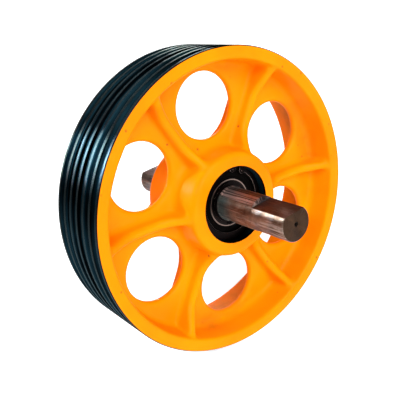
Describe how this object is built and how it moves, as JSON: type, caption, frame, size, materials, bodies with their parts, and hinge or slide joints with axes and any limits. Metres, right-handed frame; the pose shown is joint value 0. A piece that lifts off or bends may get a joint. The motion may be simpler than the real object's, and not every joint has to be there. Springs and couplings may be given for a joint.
{
  "type": "wire rope sheave",
  "caption": "Cast rope sheave with grooved rim, ribbed web and lightening holes, turning on sealed bearings on a fixed shaft with flatted ends.",
  "frame": {"origin": "on the wheel's axis, midway between the two rim faces", "axes": "Y along the shaft with the longer shaft end towards -Y (the front), +Z out of the shaft's flats"},
  "size_m": [0.5199, 0.396, 0.52],
  "materials": {
    "wheel_paint": "glossy amber paint on cast iron, tread machined bare",
    "shaft_steel": "turned steel with a brown oxide film",
    "bearing_steel": "ground bearing steel",
    "seal_rubber": "matt black rubber",
    "spring_steel": "oil-blackened spring steel",
    "cage_brass": "machined brass",
    "spacer_steel": "turned steel"
  },
  "bodies": {
    "shaft_body": {"shaft": "shaft_steel", "race_spacer": "spacer_steel", "front_inner_race": "bearing_steel", "rear_inner_race": "bearing_steel", "front_shaft_circlip": "spring_steel", "rear_shaft_circlip": "spring_steel"},
    "wheel_body": {"sheave_wheel": "wheel_paint", "front_outer_race": "bearing_steel", "rear_outer_race": "bearing_steel", "front_seal": "seal_rubber", "rear_seal": "seal_rubber", "front_bore_circlip": "spring_steel", "rear_bore_circlip": "spring_steel"},
    "front_roller_set": {"front_roller_cage": "cage_brass", "front_rollers": "bearing_steel"},
    "rear_roller_set": {"rear_roller_cage": "cage_brass", "rear_rollers": "bearing_steel"}
  },
  "joints": [
    {"name": "wheel_spin", "type": "hinge", "parent": "shaft_body", "child": "wheel_body", "pos_m": [0, 0, 0], "axis": [0, 1, 0], "continuous": true},
    {"name": "front_roller_orbit", "type": "hinge", "parent": "shaft_body", "child": "front_roller_set", "pos_m": [0, -0.0335, 0], "axis": [0, 1, 0], "continuous": true},
    {"name": "rear_roller_orbit", "type": "hinge", "parent": "shaft_body", "child": "rear_roller_set", "pos_m": [0, 0.0335, 0], "axis": [0, 1, 0], "continuous": true}
  ],
  "couplings": [
    {"joint": "front_roller_orbit", "follows": "wheel_spin", "ratio": 0.6},
    {"joint": "rear_roller_orbit", "follows": "wheel_spin", "ratio": 0.6}
  ]
}
